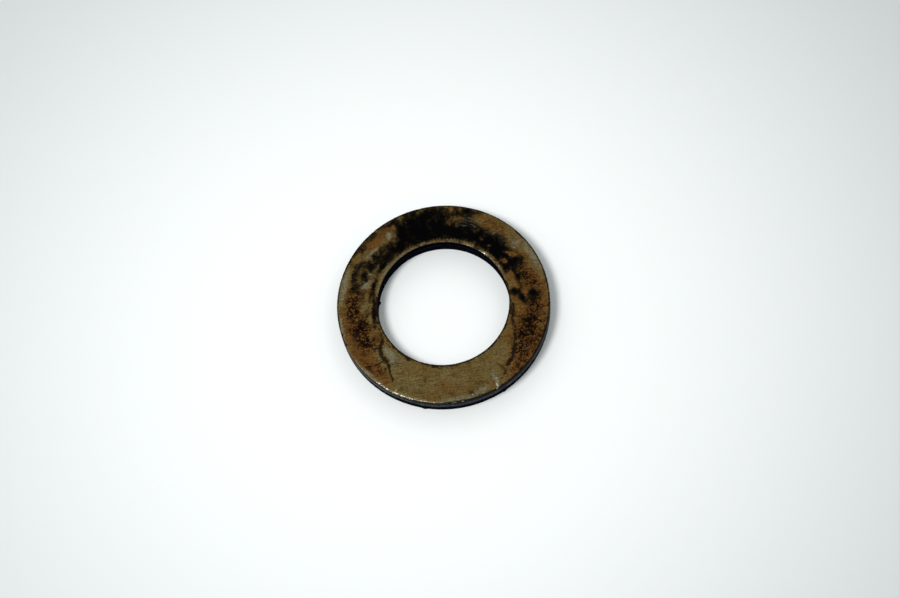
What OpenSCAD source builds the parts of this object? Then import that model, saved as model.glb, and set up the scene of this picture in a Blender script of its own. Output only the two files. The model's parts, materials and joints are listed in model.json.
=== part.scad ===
// Flat washer of the small series for an M20 bolt, punched from steel strip in one stroke.
// The origin is on the bore's axis, in the plane of the bottom face. +Z points out of the top face,
// which is the side the punch entered: both of its edges are drawn over into a roll. Below each roll
// comes a smooth sheared land, and below the land the metal tore and left a wall with a slight draft.

/* [Ring] */
// Diameter of the bore, across its smooth land
bore_d = 21; // [17:0.5:25]
// Outer diameter, across its smooth land
outer_d = 34; // [30:0.5:60]
// Thickness of the strip
thickness = 3; // [2:0.1:5]

/* [Punched edges] */
// How far each rolled edge reaches across the top face
roll_w = 0.24; // [0.1:0.02:0.4]
// How far each rolled edge drops below the top face
roll_h = 0.16; // [0.06:0.02:0.3]
// Share of the thickness, from the bottom face up, where the metal tore
tear_share = 0.4; // [0.2:0.02:0.6]
// Draft of the torn wall, in degrees from the bore's axis
tear_draft = 1.5; // [0.5:0.5:6]

/* [Hidden] */
bore_r = bore_d / 2;
outer_r = outer_d / 2;
tear_h = tear_share * thickness;
tear_w = tear_h * tan(tear_draft);
roll_steps = 6;
quarter_turn = 90;
steel = [0.42, 0.37, 0.27];
$fn = 180;

// Points of a rolled edge, a quarter of an ellipse, from the top face (share 0) down to the land
// (share 1). wall_r is the land's radius, and side is 1 for the outer wall and -1 for the bore.
function roll(wall_r, side) = [
    for (i = [0 : roll_steps])
        let (a = quarter_turn * i / roll_steps)
        [wall_r - side * roll_w * (1 - sin(a)), thickness - roll_h * (1 - cos(a))]
];

function reversed(points) = [for (i = [len(points) - 1 : -1 : 0]) points[i]];

// One half of the ring's cross-section, anticlockwise from the inner corner of the bottom face
module section() {
    polygon(concat(
        [
            [bore_r + tear_w, 0],
            [outer_r - tear_w, 0],
            [outer_r, tear_h]
        ],
        reversed(roll(outer_r, 1)),
        roll(bore_r, -1),
        [[bore_r, tear_h]]
    ));
}

module washer() {
    color(steel)
        rotate_extrude()
            section();
}

washer();
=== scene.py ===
"""A flat washer punched from steel strip, worn and stained, lying on a pale floor.

Lengths are in metres. Where a name says _mm, or in a list of marks or burrs, they are in
millimetres. Angles in the constants and lists are in degrees, and those round the ring run from
+X towards +Y.
"""

import json
import math

import bpy
import numpy as np
from mathutils import Matrix, Vector, noise


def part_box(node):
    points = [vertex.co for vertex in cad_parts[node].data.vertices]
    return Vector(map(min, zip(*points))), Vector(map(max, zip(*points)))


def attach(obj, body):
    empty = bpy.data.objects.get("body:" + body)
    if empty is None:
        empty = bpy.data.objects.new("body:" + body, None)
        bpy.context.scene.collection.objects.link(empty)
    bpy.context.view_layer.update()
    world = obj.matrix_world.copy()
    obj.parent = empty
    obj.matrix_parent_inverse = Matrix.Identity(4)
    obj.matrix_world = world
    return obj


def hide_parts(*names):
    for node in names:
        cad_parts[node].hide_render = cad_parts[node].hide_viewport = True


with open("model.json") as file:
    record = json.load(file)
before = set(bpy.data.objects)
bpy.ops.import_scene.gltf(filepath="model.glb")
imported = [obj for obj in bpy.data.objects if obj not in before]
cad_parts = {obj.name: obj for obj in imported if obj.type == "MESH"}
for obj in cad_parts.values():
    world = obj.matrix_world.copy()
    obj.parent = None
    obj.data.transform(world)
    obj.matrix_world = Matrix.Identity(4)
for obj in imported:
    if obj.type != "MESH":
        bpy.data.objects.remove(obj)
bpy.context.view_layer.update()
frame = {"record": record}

MM = 0.001
_, far_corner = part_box("washer")
bore_mount = next(mount for mount in frame["record"]["mounts"] if mount["name"] == "bore")
THICK = far_corner.z
OUTER_R = min(far_corner.x, far_corner.y)
BORE_R = bore_mount["dims"]["r_mm"] * MM

# ---------------------------------------------------------------- the ring's shape

COLUMNS = 864  # faces round the ring
TOP_ROWS = 50  # faces across the top face, between its rolled edges
ROLL_ROWS = 6  # faces down a rolled edge
LAND_ROWS = 5  # faces down the smooth land of a wall
TEAR_ROWS = 9  # faces down its torn part
BOTTOM_ROWS = 14  # faces across the bottom face

ROLL_W = 0.24 * MM  # how far a rolled edge reaches across the top face
ROLL_H = 0.16 * MM  # how far it drops
ROLL_SPREAD = 0.16  # how much both vary round the ring, as a share
NICK_DEPTH = 0.05 * MM  # how deep a rolled edge is nicked
TEAR_H = 0.40 * THICK  # height of the torn part of a wall
LOWEST_TEAR = 0.2 * THICK
HIGHEST_TEAR = 0.6 * THICK
TEAR_WANDER = 0.1 * MM  # how far its upper edge strays up and down
TEAR_DRAFT = math.tan(math.radians(1.5))
TEAR_DEPTH = 0.05 * MM  # how deep the torn part is pitted
TEAR_GRAIN_MM = 0.45  # size of those pits
PIT_DEPTH = 0.04 * MM  # how deep rust has eaten into the top face
PIT_GRAIN_MM = 0.5  # size of those pits
CORNER = 0.015 * MM  # break of the bottom edges
OUTER_SEED = 11
BORE_SEED = 31

# What a vertex's zone attribute says: the part of the section that it is on
TOP_EDGE, LAND_START, TEAR_START, BOTTOM_EDGE, UNDERSIDE = range(5)

# Burrs left on the walls: angle, height, how proud, half width and half height
OUTER_BURRS = [(250.5, 0.1, 0.14, 0.35, 0.25), (295, 0.2, 0.12, 0.4, 0.3)]
BORE_BURRS = [(164, 0.4, 0.28, 0.3, 0.5)]

columns = np.arange(COLUMNS) * 2 * math.pi / COLUMNS


def wobble(seed, size, slowest=2, fastest=40):
    """A smooth wave round the ring that closes on itself, of about that size."""
    draw = np.random.default_rng(seed)
    total = np.zeros(COLUMNS)
    for count in range(slowest, fastest):
        height = draw.normal() / math.sqrt(count)
        total += height * np.cos(count * columns + draw.uniform(0, 2 * math.pi))
    return size * total / np.std(total)


def fractal(places, grain_mm, stretch=(1, 1, 1)):
    """Fractal noise at each of an array of places in metres, from about -1 to 1."""
    falloff, finer, octaves = 0.9, 2.1, 4
    scaled = places / MM / grain_mm * np.array(stretch)
    values = [noise.fractal(Vector(place), falloff, finer, octaves) for place in scaled.reshape(-1, 3)]
    return np.array(values).reshape(places.shape[:-1])


def wall(radius, side, seed, burrs):
    """Radius, height and zone of the points down one wall, from the top face's edge to the bottom
    one, for every column. Side is 1 on the outer wall and -1 in the bore."""
    roll_w = ROLL_W * (1 + wobble(seed, ROLL_SPREAD))
    roll_h = ROLL_H * (1 + wobble(seed + 1, ROLL_SPREAD))
    wander = wobble(seed + 2, TEAR_WANDER, slowest=3, fastest=90)
    tear_h = np.clip(TEAR_H + wander, LOWEST_TEAR, HIGHEST_TEAR)
    knocks = wobble(seed + 3, 0.5, slowest=60, fastest=260)
    nick = NICK_DEPTH * np.clip(knocks - 0.3, 0, 1)
    rows = []
    for i in range(ROLL_ROWS + 1):
        turn = math.pi / 2 * i / ROLL_ROWS
        across = radius - side * roll_w * (1 - math.sin(turn)) - side * nick * math.sin(turn)
        height = THICK - roll_h * (1 - math.cos(turn)) - nick * math.sin(2 * turn)
        rows.append((across, height, TOP_EDGE + i / ROLL_ROWS))
    for i in range(1, LAND_ROWS + 1):
        share = i / LAND_ROWS
        height = (THICK - roll_h) * (1 - share) + tear_h * share
        rows.append((radius - side * nick * (1 - share) ** 2, height, LAND_START + share))
    for i in range(1, TEAR_ROWS + 1):
        share = i / TEAR_ROWS
        height = tear_h * (1 - share) + CORNER * share
        rows.append((radius - side * TEAR_DRAFT * (tear_h - height), height, TEAR_START + share))
    foot = radius - side * (TEAR_DRAFT * tear_h + CORNER)
    rows.append((foot, np.zeros(COLUMNS), BOTTOM_EDGE))
    r, z = (np.stack([row[k] for row in rows], 1) for k in (0, 1))
    zones = np.array([row[2] for row in rows], float)
    turn = columns[:, None]
    places = np.stack([r * np.cos(turn), r * np.sin(turn), z], -1)
    torn = np.sqrt(np.clip(zones - TEAR_START, 0, 1)) * (z > 0)
    r = r - side * TEAR_DEPTH * torn * np.abs(fractal(places, TEAR_GRAIN_MM, (1, 1, 0.6)))
    for angle, height_mm, proud, wide, tall in burrs:
        away = (np.degrees(turn) - angle) * math.pi / 180 * radius / MM / wide
        lump = np.exp(-(away**2) - ((z / MM - height_mm) / tall) ** 2)
        r = r + side * proud * MM * lump
    return r, z, zones


def between(first, last, count):
    """Columns of evenly spaced values strictly between two columns."""
    shares = np.arange(1, count) / count
    return first * (1 - shares) + last * shares


def ring_points():
    """The washer's closed section at every column, down the outer wall, in across the bottom, up
    the bore and out across the top face, with the zone of each of its rows."""
    outer_r, outer_z, outer_zones = wall(OUTER_R, 1, OUTER_SEED, OUTER_BURRS)
    bore_r, bore_z, bore_zones = wall(BORE_R, -1, BORE_SEED, BORE_BURRS)
    bottom = between(outer_r[:, -1:], bore_r[:, -1:], BOTTOM_ROWS)
    top = between(bore_r[:, :1], outer_r[:, :1], TOP_ROWS)
    r = np.hstack([outer_r, bottom, bore_r[:, ::-1], top])
    z = np.hstack([outer_z, 0 * bottom, bore_z[:, ::-1], 0 * top + THICK])
    underside = np.full(bottom.shape[1], UNDERSIDE)
    top_side = np.full(top.shape[1], TOP_EDGE)
    zones = np.concatenate([outer_zones, underside, bore_zones[::-1], top_side])
    turn = columns[:, None]
    return np.stack([r * np.cos(turn), r * np.sin(turn), z], -1), zones


def grid_faces(rows):
    """Four-sided faces that close the grid of points on itself both ways, and face outwards."""
    column, row = np.meshgrid(np.arange(COLUMNS), np.arange(rows), indexing="ij")
    onward, down = (column + 1) % COLUMNS, (row + 1) % rows
    corners = [column * rows + row, column * rows + down, onward * rows + down, onward * rows + row]
    return np.stack(corners, -1).reshape(-1, 4)


# ---------------------------------------------------------------- where the marks lie

# A mark is (angle, radius, half length along the ring, half width, turn, strength), and a line is
# (half width, strength, [(angle, radius), ...]).

# Black stain
STAIN = [
    (99, 13.2, 3.0, 2.4, 0, 1.3),
    (109.5, 14.3, 0.9, 1.6, -10, 1.3),
    (97, 15.3, 3.2, 1.2, 0, 1.1),
    (86, 13.0, 2.6, 2.6, 0, 1.2),
    (84, 15.6, 2.2, 1.1, 0, 0.9),
    (92, 16.5, 6.0, 0.5, 0, 0.55),
    (69, 12.2, 3.4, 1.4, 0, 1.25),
    (67, 16.3, 2.4, 0.7, 0, 0.95),
    (68, 15.5, 2.6, 0.8, 0, 0.85),
    (66, 14.0, 2.4, 1.0, 0, 0.85),
    (50, 12.6, 3.0, 1.7, 0, 1.2),
    (43, 14.2, 1.8, 0.8, 0, 0.8),
    (34, 12.3, 2.6, 1.4, 0, 1.5),
    (22, 13.1, 0.7, 1.3, -10, 1.4),
    (15, 12.5, 1.5, 0.35, 8, 1.2),
    (21, 11.7, 0.7, 0.6, 0, 1.2),
    (116, 12.3, 2.2, 1.2, 0, 1.15),
    (127, 11.9, 1.6, 0.8, 0, 1.2),
    (137, 11.7, 1.4, 0.5, 0, 1.2),
    (156, 11.5, 2.6, 0.4, 0, 0.95),
    (172, 11.0, 4.0, 0.4, 0, 0.85),
    (171, 12.5, 2.8, 0.9, 0, 0.3),
    (277, 15.7, 1.0, 0.5, 0, 0.4),
    (237, 15.7, 0.8, 0.4, 0, 0.35),
    (264, 15.4, 2.6, 0.5, 0, 0.2),
    (190, 11.0, 2.5, 0.3, 0, 0.6),
    (146, 15.0, 1.3, 0.7, 0, 0.9),
    (135, 13.1, 2.4, 1.0, 0, 0.95),
    (143, 14.0, 1.4, 0.7, 0, 0.75),
    (157, 14.4, 1.8, 0.7, 0, 0.7),
    (164, 12.9, 1.0, 0.7, 0, 0.5),
    (128, 16.5, 4.4, 0.5, 0, 0.65),
    (112, 16.4, 2.0, 0.5, 0, 0.7),
    (134, 16.0, 0.7, 0.4, 0, 0.95),
    (150, 13.7, 1.0, 0.9, 0, 0.85),
    (152, 15.1, 1.0, 0.5, 0, 0.8),
    (0, 11.7, 0.6, 0.7, 20, 1.2),
    (354.5, 12.6, 1.2, 0.45, 25, 1.25),
    (356, 14.4, 1.1, 0.7, -25, 1.2),
    (8, 12.4, 1.2, 0.4, 0, 0.9),
]
# Brown rust
RUST = [
    (170, 14.6, 4.2, 1.4, 0, 1.1),
    (193, 14.4, 4.0, 2.2, 0, 1.2),
    (213, 15.6, 3.0, 1.0, 0, 1.0),
    (224, 15.5, 1.6, 0.9, 0, 0.9),
    (201, 12.3, 1.0, 1.0, 0, 0.8),
    (351, 14.2, 4.0, 2.4, 0, 1.2),
    (334, 14.0, 3.4, 2.4, 0, 1.2),
    (320, 15.4, 3.6, 1.6, 0, 1.1),
    (304, 16.2, 2.6, 0.9, 0, 0.8),
    (10, 13.6, 3.6, 1.9, 0, 1.2),
    (23, 12.8, 2.0, 2.0, 0, 1.1),
    (125, 15.6, 3.4, 1.1, 0, 1.0),
    (113, 15.2, 0.8, 0.8, 0, 0.9),
    (162, 12.2, 2.6, 0.6, 0, 0.6),
]
# Dark veins in the rust
CRUST = [
    (174, 14.5, 2.1, 1.1, 0, 1.1),
    (163, 14.2, 1.8, 0.9, 0, 1.1),
    (186, 13.4, 1.3, 1.8, 0, 1.1),
    (199, 13.8, 1.6, 1.5, 0, 1.1),
    (192, 14.2, 1.6, 1.2, 0, 0.85),
    (206, 12.9, 0.7, 0.7, 0, 0.8),
    (212, 15.9, 1.2, 0.5, 0, 0.8),
    (219, 14.9, 1.0, 0.9, 0, 0.7),
    (336, 14.1, 2.2, 1.5, 0, 1.15),
    (326, 13.6, 1.4, 1.1, 0, 0.95),
    (349, 14.5, 1.6, 1.1, 0, 1.0),
    (320, 14.8, 2.4, 1.0, 0, 1.05),
    (331, 14.4, 4.0, 1.6, 0, 0.7),
    (229, 11.0, 0.8, 0.25, 0, 0.9),
    (208, 11.0, 0.8, 0.25, 0, 0.9),
    (252, 10.9, 1.0, 0.2, 0, 0.8),
    (275, 10.9, 0.8, 0.2, 0, 0.7),
    (338, 15.9, 2.6, 0.7, 0, 0.6),
    (310, 16.1, 3.4, 0.9, 0, 0.6),
    (326, 16.4, 2.6, 0.6, 0, 0.55),
    (346, 11.1, 1.6, 0.4, 0, 0.9),
    (13, 13.6, 3.0, 1.4, 0, 0.8),
    (5, 14.8, 2.0, 0.8, 0, 0.85),
]
# Tan patches of thin rust
OCHRE = [
    (345, 12.3, 0.9, 1.1, 0, 1.2),
    (5, 11.9, 0.9, 0.5, 0, 1.1),
    (27, 11.95, 0.65, 0.34, 20, 1.2),
    (27.5, 13.6, 0.9, 0.35, 28, 1.4),
    (10, 11.8, 1.6, 0.6, 0, 0.7),
    (50, 15.6, 2.6, 1.1, 0, 1.2),
    (61, 15.2, 1.2, 0.4, 0, 0.6),
    (71, 14.9, 0.9, 0.35, 0, 0.8),
    (76.5, 16.2, 0.4, 0.6, 0, 1.0),
    (77.5, 13.9, 0.5, 0.5, 0, 0.8),
    (52, 12.6, 0.5, 0.4, 0, 0.7),
    (44, 12.0, 0.5, 0.2, 40, 0.7),
    (262, 14.2, 2.6, 1.4, 0, 0.8),
    (123, 15.2, 1.4, 0.7, 0, 0.75),
    (112.5, 15.3, 0.4, 0.5, -10, 1.1),
    (211, 14.2, 1.2, 0.8, 0, 0.8),
]
# Pale bare steel; the arcs along the outer rim are worn steel and, from about 200 to 265 degrees, also a
# painted highlight where the lamp catches the edge
BARE_AND_RIM_SHEEN = [
    (117.5, 14.7, 0.6, 0.5, 30, 1.2),
    (134, 14.4, 1.8, 0.5, 0, 0.9),
    (217, 12.1, 1.6, 0.6, -14, 1.2),
    (172, 12.7, 2.0, 0.6, 0, 0.45),
    (155, 12.9, 1.1, 0.9, 0, 1.0),
    (145, 12.7, 1.0, 0.5, 0, 0.8),
    # Along the outer rim: worn steel, partly a painted highlight
    (160, 16.1, 4.0, 0.5, 0, 0.8),
    (185, 16.6, 4.0, 0.3, 0, 0.8),
    (218, 16.7, 6.0, 0.35, 0, 0.75),
    (245, 16.7, 5.0, 0.3, 0, 0.7),
    (270, 16.5, 4.2, 0.5, 0, 0.8),
    (283, 16.0, 1.4, 0.7, 0, 0.8),
    (291.5, 16.6, 0.16, 0.5, -14, 1.6),
    (293.5, 15.2, 0.35, 1.1, 0, 1.1),
    (234, 16.3, 0.2, 0.5, 0, 0.9),
    (22, 16.2, 4.4, 0.6, 0, 0.75),
    (32, 15.2, 0.9, 1.0, 0, 0.75),
    (320, 15.0, 0.7, 0.4, 0, 0.6),
    (302, 12.5, 3.5, 1.2, 0, 0.45),
]
# Grey-blue smears
BLOOM = [
    (66, 15.1, 1.5, 0.18, 4, 0.7),
    (63, 14.6, 1.7, 0.2, 0, 0.8),
    (69, 14.3, 1.0, 0.18, -4, 0.75),
    (61, 14.1, 1.4, 0.18, 5, 0.8),
    (66, 13.7, 1.2, 0.2, 0, 0.75),
    (50, 13.9, 1.0, 0.2, 0, 0.6),
    (46, 14.6, 1.2, 0.35, 0, 0.8),
    (31, 14.6, 0.4, 0.35, 0, 1.3),
    (37, 14.4, 1.0, 0.4, 0, 0.6),
    (104, 15.4, 0.2, 0.3, 0, 0.6),
    (96.5, 14.8, 0.3, 0.3, 0, 0.6),
    (92.5, 14.1, 0.25, 0.25, 0, 0.6),
    (146, 15.2, 0.8, 0.4, 0, 0.6),
    (193, 14.6, 0.8, 0.5, 0, 0.5),
    (332, 11.9, 0.5, 0.2, 0, 0.6),
    (323, 12.8, 0.5, 0.25, 0, 0.6),
]
# Places on the edges and face that are worn bright
WORN = [
    (224, 16.8, 0.6, 0.14, 0, 0.9),
    (228.5, 16.93, 0.7, 0.16, 0, 1.3),
    (235.5, 16.95, 1.6, 0.12, 0, 1.15),
    (242, 16.85, 1.5, 0.12, 0, 0.9),
    (247, 16.95, 1.2, 0.10, 0, 0.7),
    (252.5, 16.8, 1.6, 0.12, 0, 0.5),
    (268, 16.93, 3.0, 0.10, 0, 0.5),
    (43, 10.65, 0.7, 0.16, 0, 1.2),
    (26, 10.68, 0.4, 0.14, 0, 0.9),
    (58, 10.65, 1.6, 0.10, 0, 0.4),
    (110, 10.68, 2.0, 0.10, 0, 0.5),
    (291.5, 16.7, 0.12, 0.35, -14, 1.3),
    (277.5, 16.3, 0.16, 0.12, 0, 1.0),
]
# Fresh pale scratches, and the last a painted highlight on the bore's rim
SCUFF_AND_HIGHLIGHT = [
    (291.5, 16.6, 0.13, 0.42, -14, 1.6),
    (234, 16.4, 0.12, 0.35, 0, 0.6),
    (277.5, 16.3, 0.15, 0.10, 0, 1.1),
    (293.5, 15.3, 0.3, 0.9, 0, 0.42),
    (31, 14.6, 0.25, 0.2, 0, 0.5),
    # Painted highlight on the bore's rim
    (43, 10.85, 0.5, 0.12, 0, 0.7),
]
# Dark lines: streaks of stain, and the last four, round the rims, painted shade where the rolled edges
# turn down
STREAKS_AND_RIM_SHADE = [
    (0.34, 1.15, [(203, 11.4), (206, 12.0), (210, 12.8), (214, 13.1), (218, 13.2)]),
    (0.24, 1.0, [(218, 13.2), (222, 13.7), (226, 14.5), (229.5, 15.2)]),
    (0.18, 0.8, [(217, 13.3), (216, 14.2), (215, 14.9)]),
    (0.20, 0.7, [(297, 15.9), (301, 15.4), (305, 14.8)]),
    (0.36, 1.1, [(305, 14.8), (309, 14.5), (313, 14.1), (318, 13.6)]),
    (0.32, 0.8, [(318, 13.6), (322, 13.0), (326, 12.5), (331, 11.9), (336, 11.5)]),
    (0.30, 0.95, [(336, 11.5), (342, 11.2), (350, 11.1)]),
    (0.12, 1.0, [(287.8, 15.5), (288.2, 15.5)]),
    # Painted shade along the rims
    (0.19, 1.3, [(angle, 10.6) for angle in range(165, 371, 5)]),
    (0.14, 1.1, [(angle, 16.9) for angle in range(-20, 196, 5)]),
    (0.17, 1.1, [(angle, 16.93) for angle in range(262, 347, 5)]),
    (0.19, 1.15, [(angle, 10.67) for angle in range(217, 319, 5)]),
]


def spot(angle, radius):
    """The place at that angle and radius, in millimetres."""
    return radius * np.array([math.cos(math.radians(angle)), math.sin(math.radians(angle))])


def patches(places_mm, marks):
    """How strongly each place lies in soft ellipses: their strength at the core, and half of it
    at the outline. Where they overlap they run together."""
    field = np.zeros(len(places_mm))
    for angle, radius, along, across, turn, strength in marks:
        offset = places_mm - spot(angle, radius)
        facing = math.radians(angle + 90 + turn)
        u = (offset[:, 0] * math.cos(facing) + offset[:, 1] * math.sin(facing)) / along
        v = (offset[:, 1] * math.cos(facing) - offset[:, 0] * math.sin(facing)) / across
        field += (strength * np.exp2(-(u**2) - v**2)) ** 3
    return np.cbrt(field)


def strokes(places_mm, lines):
    """The same for lines through a few places, where they don't run together."""
    field = np.zeros(len(places_mm))
    for half_width, strength, stops in lines:
        for first, last in zip(stops, stops[1:]):
            start = spot(*first)
            run = spot(*last) - start
            share = np.clip((places_mm - start) @ run / (run @ run), 0, 1)
            away = np.linalg.norm(places_mm - start - share[:, None] * run, axis=1) / half_width
            field = np.maximum(field, strength * np.exp2(-(away**2)))
    return field


# ---------------------------------------------------------------- the ring's mesh

BEND_MM = 0.32  # how far the marks' outlines are bent
FAR_SIDE_START_MM = 2  # the Y from which the far side's own marks come in
FAR_SIDE_RISE_MM = 2  # how much further on they are at full strength
TEETH = 132  # round the bore, where the stain stops short of it
TOOTH_MM = 0.3
TOOTH_START_MM = 10.9  # radius of the teeth's feet
TOOTH_SOFTNESS_MM = 0.08
STAIN_LEFT = 0.58  # share of the stain that is left inside the teeth
BAND_R_MM = 10.8  # the band that shows there
BAND_HALF_MM = 0.2
BAND_STRENGTH = 0.75
SPOKE_R_MM = 13.75
SPOKE_STRETCH = 0.35
SHARP_EDGE = 50


def bend(shift):
    """Noise at each vertex, from above, and different for each shift."""
    level = points * (1, 1, 0)
    coarse, fine = fractal(level + shift, 1.1), fractal(level - shift, 0.35)
    return (coarse * 0.7 + fine * 0.3).ravel()


def keep(name, values, kind="FLOAT", key="value"):
    """Stores values with the mesh, one for each vertex."""
    attribute = mesh.attributes.new(name, kind, "POINT")
    attribute.data.foreach_set(key, values.astype(np.float32).ravel())


points, row_zones = ring_points()
zones = np.tile(row_zones, COLUMNS)
flat = points.reshape(-1, 3)[:, :2] / MM
flat[zones >= BOTTOM_EDGE] *= (-1, 1)  # the bottom face is marked differently from the top one
around = np.arctan2(flat[:, 1], flat[:, 0])
radius_mm = np.hypot(*flat.T)
on_faces = (zones == TOP_EDGE) | (zones >= BOTTOM_EDGE)
for axis, shift in ((0, 0.3), (1, 0.7)):
    flat[:, axis] += BEND_MM * bend(shift) * on_faces
fields = {
    "stain": patches(flat, STAIN),
    "rust": patches(flat, RUST),
    "crust": patches(flat, CRUST),
    "ochre": patches(flat, OCHRE),
    "bare_and_rim_sheen": patches(flat, BARE_AND_RIM_SHEEN),
    "bloom": patches(flat, BLOOM),
    "worn": patches(flat, WORN),
    "scuff_and_highlight": patches(flat, SCUFF_AND_HIGHLIGHT),
    "streak_and_rim_shade": strokes(flat, STREAKS_AND_RIM_SHADE),
}

# On the far side the stain ends in small teeth, and a bare band shows between them and the bore
far_side = np.clip((flat[:, 1] - FAR_SIDE_START_MM) / FAR_SIDE_RISE_MM, 0, 1)
teeth = TOOTH_MM * np.abs(np.sin(TEETH / 2 * around + 0.8 * np.sin(7 * around)))
stain_left = np.clip((radius_mm - TOOTH_START_MM - teeth) / TOOTH_SOFTNESS_MM, STAIN_LEFT, 1)
fields["stain"] *= 1 - far_side * (1 - stain_left)
band = np.exp2(-(((radius_mm - BAND_R_MM) / BAND_HALF_MM) ** 2))
fields["bare_and_rim_sheen"] = np.maximum(fields["bare_and_rim_sheen"], far_side * BAND_STRENGTH * band)

# Rust has eaten shallow pits into the top face
eaten = np.maximum(fields["crust"], 0.5 * fields["rust"]) - fields["bare_and_rim_sheen"]
eaten = np.clip(eaten, 0, 1).reshape(points.shape[:2])
on_top = row_zones == TOP_EDGE
pits = np.clip(fractal(points[:, on_top], PIT_GRAIN_MM, (0.6, 1, 1)) + 0.1, 0, 1)
points[:, on_top, 2] -= PIT_DEPTH * eaten[:, on_top] * pits

mesh = bpy.data.meshes.new("punched_ring")
mesh.from_pydata(points.reshape(-1, 3).tolist(), [], grid_faces(len(row_zones)).tolist())
mesh.shade_smooth()
mesh.set_sharp_from_angle(angle=math.radians(SHARP_EDGE))
for name, values in {"zone": zones, **fields}.items():
    keep(name, values)
# Noise over these places is drawn out along the ring's radius, like spokes
spokes = [SPOKE_R_MM * np.cos(around), SPOKE_R_MM * np.sin(around), SPOKE_STRETCH * radius_mm]
keep("spokes", np.stack(spokes, -1), "FLOAT_VECTOR", "vector")
ring = bpy.data.objects.new("punched_ring", mesh)
bpy.context.scene.collection.objects.link(ring)
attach(ring, "root")
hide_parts("washer")

# ---------------------------------------------------------------- materials


def srgb(red, green, blue):
    """A colour as a screen shows it, from 0 to 255, as linear light."""
    shares = [value / 255 for value in (red, green, blue)]
    return [s / 12.92 if s <= 0.04045 else ((s + 0.055) / 1.055) ** 2.4 for s in shares] + [1]


class Signal:
    """One output in a material's node tree, so that a pattern reads as arithmetic."""

    def __init__(self, tree, socket):
        self.tree = tree
        self.socket = socket

    def math(self, operation, *others):
        """The result of a Math node that takes this and the others."""
        node = self.tree.nodes.new("ShaderNodeMath")
        node.operation = operation
        for entry, value in zip(node.inputs, (self, *others)):
            feed(entry, value)
        return Signal(self.tree, node.outputs[0])

    def __add__(self, other):
        return self.math("ADD", other)

    def __sub__(self, other):
        return self.math("SUBTRACT", other)

    def __rsub__(self, other):
        return (self * -1.0).math("ADD", other)

    def __mul__(self, other):
        return self.math("MULTIPLY", other)

    def length(self):
        """The length of this vector."""
        node = self.tree.nodes.new("ShaderNodeVectorMath")
        node.operation = "LENGTH"
        feed(node.inputs[0], self)
        return Signal(self.tree, node.outputs["Value"])

    def step(self, start, end, low=0.0, high=1.0):
        """Rises smoothly from low to high as this goes from start to end."""
        node = self.tree.nodes.new("ShaderNodeMapRange")
        node.interpolation_type = "SMOOTHSTEP"
        feed(node.inputs["Value"], self)
        feed(node.inputs["From Min"], start)
        feed(node.inputs["From Max"], end)
        feed(node.inputs["To Min"], low)
        feed(node.inputs["To Max"], high)
        return Signal(self.tree, node.outputs["Result"])


def feed(entry, value):
    """Links a signal to an input, or sets a plain value on it."""
    if isinstance(value, Signal):
        value.tree.links.new(value.socket, entry)
    else:
        entry.default_value = value


def mix(share, under, over):
    """The colour under, covered by the colour over by that share."""
    node = share.tree.nodes.new("ShaderNodeMix")
    node.data_type = "RGBA"
    colours = [entry for entry in node.inputs if entry.type == "RGBA"]
    feed(node.inputs["Factor"], share)
    feed(colours[0], under)
    feed(colours[1], over)
    return Signal(share.tree, next(out for out in node.outputs if out.type == "RGBA"))


def dim(colour, factor):
    """That colour, made brighter or darker by a factor."""
    node = factor.tree.nodes.new("ShaderNodeVectorMath")
    node.operation = "SCALE"
    feed(node.inputs[0], colour)
    feed(node.inputs["Scale"], factor)
    return Signal(factor.tree, node.outputs["Vector"])


class Paint:
    """A material and what its patterns start from."""

    def __init__(self, name):
        self.material = bpy.data.materials.new(name)
        self.material.use_nodes = True
        self.tree = self.material.node_tree
        self.shader = self.tree.nodes["Principled BSDF"]

    def place_mm(self, stretch, shift):
        """The surface's own place, in millimetres, scaled along X, Y and Z and then shifted."""
        node = self.tree.nodes.new("ShaderNodeMapping")
        node.inputs["Location"].default_value = (shift, 2 * shift, 3 * shift)
        node.inputs["Scale"].default_value = [s / MM for s in stretch]
        coordinates = self.tree.nodes.new("ShaderNodeTexCoord")
        self.tree.links.new(coordinates.outputs["Object"], node.inputs["Vector"])
        return Signal(self.tree, node.outputs["Vector"])

    def grain(self, per_mm, detail=3.0, rough=0.55, twist=0.0, stretch=(1, 1, 1), shift=0.0, vector=None):
        """Noise about 0, mostly within 0.5 of it, with that many lumps to a millimetre."""
        node = self.tree.nodes.new("ShaderNodeTexNoise")
        node.inputs["Scale"].default_value = per_mm
        node.inputs["Detail"].default_value = detail
        node.inputs["Roughness"].default_value = rough
        node.inputs["Distortion"].default_value = twist
        if vector is None:
            vector = self.place_mm(stretch, shift)
        feed(node.inputs["Vector"], vector)
        return (Signal(self.tree, node.outputs[0]) - 0.5) * 2

    def kept(self, name, output="Fac"):
        """What the mesh keeps for each vertex under that name, which is a number unless output
        says Vector."""
        node = self.tree.nodes.new("ShaderNodeAttribute")
        node.attribute_name = name
        return Signal(self.tree, node.outputs[output])

    def finish(self, colour, roughness, height, depth_mm, metallic=0.0, specular=0.5):
        """Links the patterns to the shader, with height as a bump, and gives the material."""
        feed(self.shader.inputs["Base Color"], colour)
        feed(self.shader.inputs["Roughness"], roughness)
        feed(self.shader.inputs["Metallic"], metallic)
        self.shader.inputs["Specular IOR Level"].default_value = specular
        bump = self.tree.nodes.new("ShaderNodeBump")
        bump.inputs["Distance"].default_value = depth_mm * MM
        feed(bump.inputs["Height"], height)
        self.tree.links.new(bump.outputs["Normal"], self.shader.inputs["Normal"])
        return self.material


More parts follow.
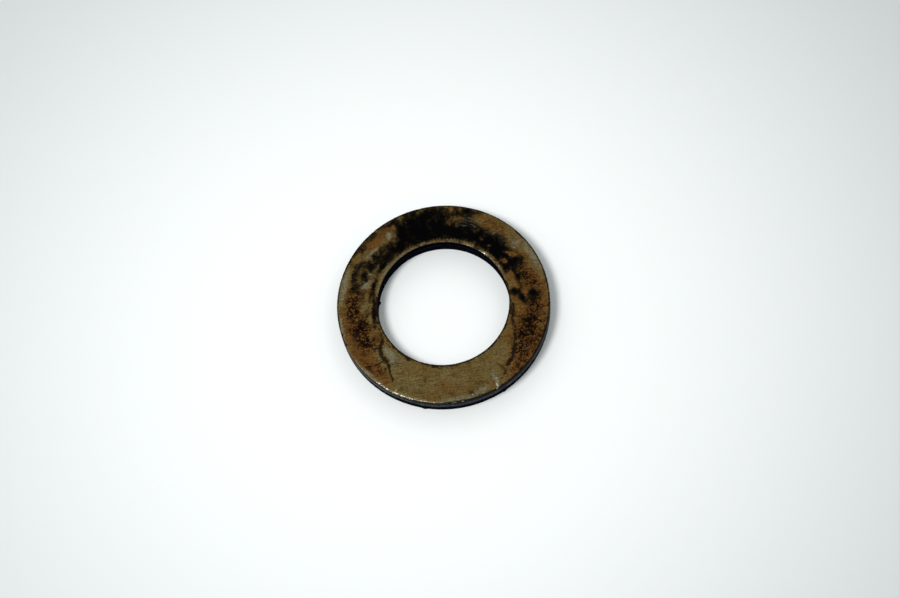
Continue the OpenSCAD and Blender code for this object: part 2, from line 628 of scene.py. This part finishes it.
def face_steel():
    """The top and bottom faces and the rolled edges: worn brown steel, rusted and stained, with painted
    shade on the rolled edges and along the rims, and painted highlights on parts of the rims.
    """
    paint = Paint("face_steel")
    broad = paint.grain(0.25, 2, 0.5, shift=11)
    mottle = paint.grain(0.9, 3, 0.55, 0.3, shift=23)
    fleck = paint.grain(2.4, 3, 0.65, shift=37)
    radial = paint.grain(1.5, 3, 0.65, 0.2, vector=paint.kept("spokes", "Vector"))
    fine = paint.grain(4.5, 3, 0.6, shift=41)
    hairs = paint.grain(1.0, 2, 0.6, stretch=(0.4, 8, 1), shift=59)
    zone = paint.kept("zone")

    def field(name, mottled, flecked, spoked=0.0):
        """How strong that mark is, with its outline broken up."""
        return paint.kept(name) + mottle * mottled + fleck * flecked + radial * spoked

    stain = field("stain", 0.8, 0.6) - paint.kept("bare_and_rim_sheen").step(0.8, 1.3)
    rust = field("rust", 0.8, 0.9, 0.4)
    crossings = paint.grain(1.4, 2, 0.6, 0.5, shift=71).math("ABSOLUTE")
    veins = crossings.step(0.24, 0.0, -0.45, 0.4)
    crust = field("crust", 0.5, 0.8, 0.4) + veins * paint.kept("crust").step(0.1, 0.6)
    ochre = field("ochre", 0.5, 0.45)
    bare_and_rim_sheen = field("bare_and_rim_sheen", 0.4, 0.4)
    bloom = field("bloom", 0.3, 0.9)
    scuff_and_highlight = field("scuff_and_highlight", 0.0, 0.6)
    streak_and_rim_shade = field("streak_and_rim_shade", 0.5, 1.0)
    spark = field("worn", 0.0, 0.8) + fine * 2.2
    # Painted shade: the lower half of each rolled edge, and the underside beside the bottom edges, are
    # painted near black
    roll_painted_shade = zone.step(0.5, 0.8) * zone.step(3.2, 3.0)

    clean = mix(broad.step(-0.3, 0.3), srgb(100, 80, 42), srgb(104, 90, 54))
    colour = mix(mottle.step(0.0, 0.5, 0, 0.6), clean, srgb(82, 64, 31))
    brown = mix(fleck.step(0.0, 0.5), srgb(82, 51, 20), srgb(106, 68, 29))
    colour = mix(rust.step(0.2, 0.7, 0, 0.85), colour, brown)
    colour = mix(rust.step(0.8, 1.3, 0, 0.55), colour, srgb(56, 28, 7))
    # Bare steel, and along the outer rim partly a painted highlight
    colour = mix(bare_and_rim_sheen.step(0.3, 0.9, 0, 0.85), colour, srgb(116, 112, 90))
    colour = mix(crust.step(0.35, 0.8, 0, 0.85), colour, srgb(42, 22, 6))
    colour = mix(stain.step(0.1, 0.5, 0, 0.8), colour, srgb(58, 43, 19))
    colour = mix(stain.step(0.35, 0.75), colour, srgb(25, 19, 9))
    colour = mix(stain.step(0.62, 1.1), colour, srgb(2, 2, 3))
    colour = mix(crust.step(0.75, 1.15), colour, srgb(9, 5, 3))
    tan = mix(fleck.step(-0.3, 0.4), srgb(78, 52, 20), srgb(106, 76, 34))
    colour = mix(ochre.step(0.3, 1.0, 0, 0.85), colour, tan)
    colour = mix(bloom.step(0.4, 1.2, 0, 0.4), colour, srgb(92, 98, 92))
    # Streaks of stain, and painted shade along the rims
    colour = mix(streak_and_rim_shade.step(0.3, 0.9, 0, 0.9), colour, srgb(20, 13, 7))
    # Painted shade on the rolled edges
    colour = mix(roll_painted_shade, colour, srgb(12, 12, 13))
    # Pale scratches, and a painted highlight on the bore's rim
    colour = mix(scuff_and_highlight.step(0.3, 0.9), colour, srgb(170, 166, 148))
    grit = fine * 0.9 + hairs * 0.8 + fleck * 0.5 + 1.0
    colour = dim(colour, grit.step(0.3, 1.7, 0.35, 1.65))
    glint = spark.step(0.75, 1.3) * paint.kept("worn").step(0.15, 0.4)
    colour = mix(glint, colour, srgb(190, 182, 160))

    covered = stain.step(0.2, 0.7).math("MAXIMUM", crust.step(0.4, 0.8)).math("MAXIMUM", roll_painted_shade)
    metal = ((1.0 - covered) * (0.45 - rust.step(0.2, 0.8, 0, 0.35))).math("MAXIMUM", glint * 0.9)
    rough = rust.step(0.2, 0.9, 0, 0.25) + crust.step(0.4, 0.9, 0, 0.1) + fine * 0.1 + 0.42 - glint * 0.12
    height = fine * 0.3 + hairs * 0.25 + crust.step(0.3, 0.9, 0, 0.6) - stain.step(0.4, 0.8, 0, 0.15)
    return paint.finish(colour, rough, height, 0.02, metallic=metal, specular=0.02)


def land_steel(name, dark, light, specular):
    """The smooth sheared band of a wall: blue-black, with drag lines down it, black along its lower edge,
    and painted black along its upper edge as painted shade under the rolled edge."""
    paint = Paint(name)
    drag = paint.grain(1.0, 3, 0.6, stretch=(5, 5, 0.5), shift=7)
    blotch = paint.grain(0.7, 3, 0.6, shift=13)
    zone = paint.kept("zone") + blotch * 0.14 + drag * 0.06
    black = srgb(3, 4, 8)
    colour = mix(drag.step(-0.4, 0.4), dark, light)
    colour = mix(blotch.step(0.0, 0.5), colour, dark)
    # Painted shade: the upper part of the land, under the rolled edge, is painted black
    colour = mix(zone.step(1.58, 1.36), colour, black)
    colour = mix(zone.step(1.68, 1.98), colour, black)
    return paint.finish(colour, blotch * 0.15 + 0.42, drag, 0.02, specular=specular)


def torn_steel():
    """The torn band below the land: rough and nearly black."""
    paint = Paint("torn_steel")
    lumps = paint.grain(4, 4, 0.7, shift=17)
    colour = mix(lumps.step(-0.1, 0.7), srgb(4, 7, 14), srgb(38, 42, 52))
    return paint.finish(colour, lumps * 0.2 + 0.7, lumps, 0.05, specular=0.0)


MATERIALS = [
    face_steel(),
    land_steel("outer_land_steel", srgb(24, 27, 38), srgb(78, 84, 98), specular=0.015),
    land_steel("bore_land_steel", srgb(8, 10, 19), srgb(20, 25, 42), specular=0.0),
    torn_steel(),
]
FACE, OUTER_LAND, BORE_LAND, TEAR = range(4)
for material in MATERIALS:
    mesh.materials.append(material)

row_middles = (row_zones + np.roll(row_zones, -1)) / 2
row_materials = np.full(len(row_zones), FACE)
on_land = (row_middles > LAND_START) & (row_middles < TEAR_START)
outside = np.arange(len(row_zones)) < np.argmax(row_zones == UNDERSIDE)
row_materials[on_land & outside] = OUTER_LAND
row_materials[on_land & ~outside] = BORE_LAND
row_materials[(row_middles > TEAR_START) & (row_middles <= BOTTOM_EDGE)] = TEAR
mesh.polygons.foreach_set("material_index", np.tile(row_materials, COLUMNS).astype(np.int32))

# ---------------------------------------------------------------- floor, light and camera

FLOOR_REACH = 1.5
FLOOR_GAP = 0.01 * MM
# The floor's two colours paint a pool of light: pale near the washer, painted greyer further out.
FLOOR_COLOUR = (0.92, 0.945, 0.94, 1)
FLOOR_PAINTED_DIM_COLOUR = (0.55, 0.57, 0.575, 1)
FLOOR_LIGHT_POOL_MM = (10, 120)  # distances from the origin between which it fades from one to the other
KEY_AZIMUTH = 202
KEY_ELEVATION = 63
KEY_DISTANCE = 0.5
KEY_SIZE = 0.18
KEY_POWER = 1.5
SKY_COLOUR = (0.97, 1.0, 1.0, 1)
NEAR_BRIGHTNESS = 0.25
FAR_BRIGHTNESS = 1.3
FAR_AZIMUTH = 90
DARK_SHARE = 0.05  # of the sky's brightness, in the dark patch
DARK_RADIUS = 10
DARK_REACH = 35  # where the patch has faded out
CAMERA_AZIMUTH = -90
CAMERA_ELEVATION = 67.7
CAMERA_ROLL = -9.7
CAMERA_DISTANCE = 0.431
CAMERA_LENS = 108
SENSOR_WIDTH = 36
CLIP_START = 0.01
AIM_RIGHT = 0.98 * MM
AIM_UP = 1.17 * MM


def direction(azimuth, elevation):
    """The unit vector towards a place in the sky."""
    a, e = math.radians(azimuth), math.radians(elevation)
    return Vector((math.cos(a) * math.cos(e), math.sin(a) * math.cos(e), math.sin(e)))


def add_floor():
    """A pale sheet under the washer, with a painted pool of light: it is painted greyer away from the
    washer.
    """
    floor_mesh = bpy.data.meshes.new("floor")
    signs = [(-1, -1), (1, -1), (1, 1), (-1, 1)]
    corners = [(x * FLOOR_REACH, y * FLOOR_REACH, -FLOOR_GAP) for x, y in signs]
    floor_mesh.from_pydata(corners, [], [(0, 1, 2, 3)])
    floor = bpy.data.objects.new("floor", floor_mesh)
    bpy.context.scene.collection.objects.link(floor)
    paint = Paint("paper")
    away = paint.place_mm((1, 1, 1), 0).length()
    # Painted pool of light: the floor is painted darker with distance from the washer
    colour = mix(away.step(*FLOOR_LIGHT_POOL_MM), FLOOR_COLOUR, FLOOR_PAINTED_DIM_COLOUR)
    feed(paint.shader.inputs["Base Color"], colour)
    paint.shader.inputs["Roughness"].default_value = 0.9
    paint.shader.inputs["Specular IOR Level"].default_value = 0.0
    floor_mesh.materials.append(paint.material)


def add_key_light():
    """A soft round lamp, turned towards the origin."""
    light = bpy.data.lights.new("key", "AREA")
    light.shape = "DISK"
    light.size = KEY_SIZE
    light.energy = KEY_POWER
    lamp = bpy.data.objects.new("key", light)
    outward = direction(KEY_AZIMUTH, KEY_ELEVATION)
    lamp.location = outward * KEY_DISTANCE
    lamp.rotation_mode = "QUATERNION"
    lamp.rotation_quaternion = outward.to_track_quat("Z", "Y")
    bpy.context.scene.collection.objects.link(lamp)


def add_sky():
    """Soft white light from all round, brighter from the far side, with a dark patch where the
    top face mirrors the sky into the camera."""
    world = bpy.data.worlds.new("studio")
    bpy.context.scene.world = world
    world.use_nodes = True
    tree = world.node_tree
    coordinates = tree.nodes.new("ShaderNodeTexCoord")

    def cosine_to(azimuth, elevation):
        """The cosine of the angle between each place in the sky and that one."""
        node = tree.nodes.new("ShaderNodeVectorMath")
        node.operation = "DOT_PRODUCT"
        node.inputs[1].default_value = direction(azimuth, elevation)
        tree.links.new(coordinates.outputs["Generated"], node.inputs[0])
        return Signal(tree, node.outputs["Value"])

    glow = cosine_to(FAR_AZIMUTH, 0).step(-1.0, 1.0, NEAR_BRIGHTNESS, FAR_BRIGHTNESS)
    core = math.cos(math.radians(DARK_RADIUS))
    rim = math.cos(math.radians(DARK_REACH))
    strength = glow * cosine_to(FAR_AZIMUTH, CAMERA_ELEVATION).step(rim, core, 1.0, DARK_SHARE)
    background = tree.nodes["Background"]
    background.inputs["Color"].default_value = SKY_COLOUR
    feed(background.inputs["Strength"], strength)


def add_camera():
    """The camera, rolled about its axis and aimed a little beside the ring's middle."""
    back = direction(CAMERA_AZIMUTH, CAMERA_ELEVATION)
    level_right = Vector((1, 0, 0))
    level_up = back.cross(level_right)
    roll = math.radians(CAMERA_ROLL)
    right = level_right * math.cos(roll) + level_up * math.sin(roll)
    up = level_up * math.cos(roll) - level_right * math.sin(roll)
    middle = Vector((0, 0, THICK / 2))
    place = middle + back * CAMERA_DISTANCE + right * AIM_RIGHT + up * AIM_UP
    data = bpy.data.cameras.new("camera")
    data.lens = CAMERA_LENS
    data.sensor_width = SENSOR_WIDTH
    data.clip_start = CLIP_START
    camera = bpy.data.objects.new("camera", data)
    camera.matrix_world = Matrix.Translation(place) @ Matrix((right, up, back)).transposed().to_4x4()
    bpy.context.scene.collection.objects.link(camera)
    bpy.context.scene.camera = camera


add_floor()
add_key_light()
add_sky()
add_camera()
bpy.context.scene.view_settings.view_transform = "Standard"
